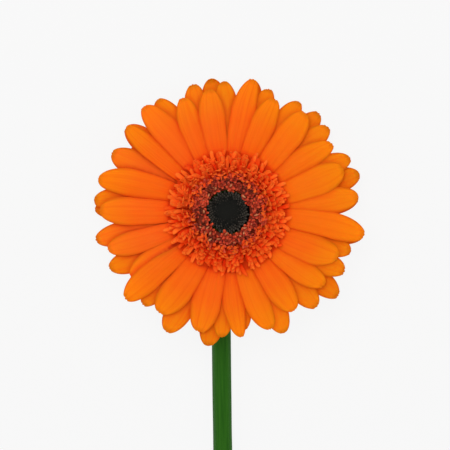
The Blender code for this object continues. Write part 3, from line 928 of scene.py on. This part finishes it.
def lobes(sheaf, mouth, forward, tone, draw):
    """Five small lobes that curl back round a floret's mouth."""
    side = unit(np.cross(forward, (0.3, 0.2, 1.0)))
    other = np.cross(forward, side)
    start = draw.uniform(0, math.tau)
    along = np.linspace(0, 1, 5)[:, None]
    across = np.linspace(-1, 1, 3)[None, :]
    for number in range(LOBE_COUNT):
        turn = start + math.tau * number / LOBE_COUNT
        out = side * math.cos(turn) + other * math.sin(turn)
        cross = side * -math.sin(turn) + other * math.cos(turn)
        length = draw.uniform(1.4, 2.3) * MM
        bend = draw.uniform(0.3, 2.2) * along
        away = 0.5 * MM + length * np.sin(bend) / np.maximum(bend, 0.2) * along * 0.9
        rise = length * along * np.cos(bend)
        half = draw.uniform(0.55, 0.8) * MM * (1 - 0.6 * along**2)
        top = mouth + out * away[..., None] + forward * rise[..., None]
        top = top + cross * (half * across)[..., None]
        marks = {"along": 0.55 + 0.45 * along, "across": across, "tone": tone}
        sheaf.sheet(top, -skin_normals(top), LOBE_THICKNESS, **marks)


# Eye


def eye_buds(material, seed):
    """Unopened florets packed in a spiral on a low dome, the outermost leaning out in points."""
    draw = np.random.default_rng(seed)
    sheaf = Sheaf("along", "tone")
    share = np.linspace(0, 1, len(BUD_PROFILE))
    for number in range(BUD_COUNT):
        outward = math.sqrt((number + 0.5) / BUD_COUNT)
        radius = (EYE_RADIUS - EYE_MARGIN * MM) * outward
        height = (EYE_HEIGHT + EYE_SWELL * outward**2) * MM
        angle = number * GOLDEN_ANGLE
        foot = clock(angle, radius * 0.94, height - BUD_DEPTH * MM)
        point = draw.uniform(0, LONGEST_POINT) * MM * smooth(outward * 6 - 5)
        rise = (BUD_LENGTH + draw.uniform(-0.2, 0.2)) * MM + point
        lean = clock(angle + draw.uniform(-3, 3), 0.1 * radius + point, rise)
        path = foot + lean * share[:, None]
        tone = draw.uniform(-0.5, 0.5) + 1.3 * outward**2
        radii = np.array(BUD_PROFILE) * (BUD_RADIUS + BUD_THICKENING * outward) * MM
        sheaf.tube(path, radii, BUD_SIDES, along=share, tone=tone)
    dress(sheaf.piece("eye_floret_buds", HEAD, material, lean=CORE_LEAN), "floret_buds")
    dome = Sheaf("along", "tone")
    rings = np.linspace(0, 1, 8)
    path = clock(0.0, 0.0, np.interp(rings, (0, 1), DOME_HEIGHTS) * MM)
    radii = np.sqrt(1 - rings**4 * 0.55) * (EYE_RADIUS - 0.1 * MM)
    dome.tube(path, radii, DOME_SIDES, along=0.0, tone=-1.0)
    core = dome.piece("eye_receptacle", HEAD, material, lean=CORE_LEAN)
    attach(core, "root")


# Involucre


def bracts(material, seed):
    """Rows of narrow pointed scales over the cup behind the petals."""
    draw = np.random.default_rng(seed)
    sheaf = Sheaf("along", "across", "tone")
    along = np.linspace(0, 1, 14)[:, None]
    across = np.linspace(-1, 1, 7)[None, :]
    for level, ring in enumerate(BRACT_RINGS):
        for number in range(ring.count):
            angle = 360 * (number + level / 2 + draw.uniform(-0.12, 0.12)) / ring.count
            root, shoulder, tip = (np.array(p) * MM for p in (ring.root, ring.shoulder, ring.tip))
            tip = tip * (draw.uniform(0.95, 1.0), 1)
            line = curve_through(root, shoulder, tip, along)
            half = BRACT_HALF_WIDTH * MM * (0.75 + 0.25 * smooth(along * 3))
            half = half * np.maximum(0.02, 1 - along**1.8) ** 0.8
            step = BRACT_STEP if number % 2 else -BRACT_STEP
            lift = step * MM + draw.uniform(-0.1, 0.1) * MM * along
            keel = BRACT_CURL * MM * across**2 - BRACT_KEEL * MM * np.exp(-((across / 0.12) ** 2))
            outer = clock(angle, line[:, :1], line[:, 1:] + lift + keel * (1 - 0.4 * along))
            outer = outer + clock(angle + 90, half * across, 0.0)
            normal = skin_normals(outer)
            marks = {"along": along, "across": across, "tone": draw.random()}
            top = outer + normal * BRACT_THICKNESS * MM
            sheaf.sheet(top, normal, BRACT_THICKNESS * MM, **marks)
    dress(sheaf.piece("involucre_bracts", HEAD, material), "involucre")


def cup(material):
    """The receptacle under the scales, swelling smoothly from the top of the stem."""
    sheaf = Sheaf("along", "across", "tone")
    profile = np.array(CUP_OUTLINE) * MM
    path = clock(0.0, 0.0, profile[:, 1])
    share = np.linspace(0, 1, len(profile))
    sheaf.tube(path, profile[:, 0], CUP_SIDES, along=share, tone=0.2)
    body = sheaf.piece("involucre_cup", HEAD, material)
    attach(body, "root")


# Stem


def stem_route():
    """Points down the middle of the stem from the cup to the cut, with radii and distances."""
    tilt = HEAD_TILT
    down = np.array((0, -math.sin(tilt), -math.cos(tilt)))
    top = np.array(HEAD @ Vector((0, 0, -STEM_TOP_DEPTH)))
    bend_start = top + down * NECK_LEAD
    bend_centre = bend_start + NECK_BEND * np.array((0, -math.cos(tilt), math.sin(tilt)))
    turns = np.linspace(tilt, math.pi / 2, NECK_STEPS)
    bent = bend_centre + NECK_BEND * np.stack([turns * 0, np.cos(turns), -np.sin(turns)], axis=-1)
    to_cut = np.array((0, CAD_BOX[0][1] - bent[-1][1], 0))
    level = bent[-1] + np.linspace(0, 1, STEM_STEPS)[1:, None] * to_cut
    points = np.concatenate([[top, (top + bend_start) / 2], bent, level])
    pieces = np.linalg.norm(np.diff(points, axis=0), axis=1)
    distance = np.concatenate([[0], np.cumsum(pieces)])
    share = distance / distance[-1]
    flare = (STEM_TOP_RADIUS - STEM_RADIUS) * np.exp(-distance / STEM_FLARE_LENGTH)
    radius = STEM_RADIUS + flare + (STEM_CUT_RADIUS - STEM_RADIUS) * share
    lean = STEM_LEAN * (1 - np.exp(-((distance / STEM_LEAN_LENGTH) ** 2)))
    points[:, 0] += STEM_BOW * share**2 - lean
    lying = np.arange(len(points)) > len(bent) + 1
    points[lying, 2] = radius[lying]
    return points, radius, distance


def stalk(material, seed):
    """The ribbed stalk, with a cut end that shows its rind and its pale pith."""
    draw = np.random.default_rng(seed)
    points, radius, distance = stem_route()
    ring, forward = spokes(points, (0.0, 0.3, 1.0), STEM_SIDES)
    turn = np.arange(STEM_SIDES) * math.tau / STEM_SIDES
    ribs = 0.0
    for waves, depth in STEM_RIBS:
        phase = waves * turn + draw.uniform(0, 6)
        ribs = ribs - depth * (1 + np.cos(phase + distance[:, None] * draw.uniform(-6, 6)))
    swell = sum(depth * np.sin(distance * waves + phase) for depth, waves, phase in STEM_SWELLS)
    size = radius[:, None] * (1 + ribs + np.minimum(swell, 0)[:, None])
    skin = points[:, None] + ring * size[..., None]
    skin[..., 2] = np.maximum(skin[..., 2], 0.02 * MM)
    sheaf = Sheaf("along", "across", "core")
    along = np.repeat(distance / distance[-1], STEM_SIDES)
    across = np.tile(np.arange(STEM_SIDES) / STEM_SIDES, len(points))
    grid, quads = hoops(len(points), STEM_SIDES)
    sheaf.add(skin, [*map(tuple, quads), tuple(grid[0])], along=along, across=across)
    rim, middle, out = skin[-1], points[-1], forward[-1]
    disc = []
    for share, depth in zip(CUT_SHARES, CUT_DEPTHS):
        rough = draw.uniform(-0.03, 0.03, (STEM_SIDES, 1)) * (depth > 0)
        disc.append(middle + (rim - middle) * share - out * (depth + rough) * MM)
    grid, quads = hoops(len(CUT_SHARES), STEM_SIDES)
    core = np.maximum(np.repeat(1 - np.array(CUT_SHARES), STEM_SIDES), 0.01)
    sheaf.add(disc, [*map(tuple, quads), tuple(grid[-1])], along=1.0, core=core)
    dress(sheaf.piece("stem_stalk", Matrix.Identity(4), material), "stem")


# Stage


def floor():
    """A plain pale floor that reaches past every view, with the faintest unevenness."""
    ends = (-FLOOR_HALF, FLOOR_HALF)
    mesh = bpy.data.meshes.new("floor")
    mesh.from_pydata([(x, y, 0) for y in ends for x in ends], [], [(0, 1, 3, 2)])
    made = Shader("floor_white", roughness=0.9, gloss=0.1)
    worn = tuple(share * FLOOR_WEAR for share in FLOOR_PAINT)
    made.colour(made.mix(made.between(made.noise(40.0, 2.0), 0.3, 0.7), FLOOR_PAINT, worn))
    made.surface.inputs["Emission Color"].default_value = (1, 1, 1, 1)
    made.surface.inputs["Emission Strength"].default_value = FLOOR_GLOW
    mesh.materials.append(made.material)
    ground = bpy.data.objects.new("floor", mesh)
    ground.location.z = -FLOOR_DROP
    bpy.context.scene.collection.objects.link(ground)


def lighting():
    """A bright even surround and a large soft key from above the camera."""
    world = bpy.data.worlds.new("surround")
    bpy.context.scene.world = world
    world.use_nodes = True
    background = world.node_tree.nodes["Background"]
    background.inputs["Color"].default_value = (1, 1, 1, 1)
    background.inputs["Strength"].default_value = SURROUND_STRENGTH
    lamp = bpy.data.lights.new("key", "AREA")
    lamp.shape = "DISK"
    lamp.size = KEY_SIZE
    lamp.energy = KEY_POWER
    made = bpy.data.objects.new("key", lamp)
    made.location = HEAD @ Vector(KEY_PLACE)
    towards = HEAD.translation - made.location
    made.rotation_euler = towards.to_track_quat("-Z", "Y").to_euler()
    bpy.context.scene.collection.objects.link(made)
    bpy.context.scene.view_settings.view_transform = "Standard"


def camera():
    """The photograph's view, square to the head's face, with the head a little above its middle."""
    data = bpy.data.cameras.new("photo_view")
    data.sensor_width = SENSOR_WIDTH
    data.lens = SENSOR_WIDTH * CAMERA_DISTANCE / FIELD_WIDTH
    data.clip_start, data.clip_end = CLIP_RANGE
    made = bpy.data.objects.new("photo_view", data)
    middle = Vector((-HEAD_FROM_MIDDLE[0], -HEAD_FROM_MIDDLE[1], CAMERA_DISTANCE))
    made.matrix_world = HEAD @ Matrix.Translation(middle)
    bpy.context.scene.collection.objects.link(made)
    bpy.context.scene.camera = made


def main():
    """Dresses the flower and sets up its floor, light and camera."""
    for level, row in enumerate(RAY_ROWS):
        petals = ray_material(row.name + "_orange", *RAY_SHADES[level])
        ray_petals(level, petals, seed=11 + level)
    # A floret material's outline is the share of painted shade along the florets' edges
    trans = floret_material("trans_orange_red", TRANS_SHADES, starts=(0.65, 0.77), outline=0.6)
    trans_florets(trans, seed=21)
    disc = floret_material("disc_crimson", DISC_SHADES, starts=(0.3, 0.7), outline=0.15)
    disc_florets(disc, pale_tip_material(), seed=31)
    eye_buds(eye_material(), seed=41)
    green = green_material("cup_green", *CUP_SHADES)
    bracts(green, seed=51)
    cup(green)
    stalk(stalk_material("stalk_green", *STALK_SHADES), seed=61)
    floor()
    lighting()
    camera()


main()
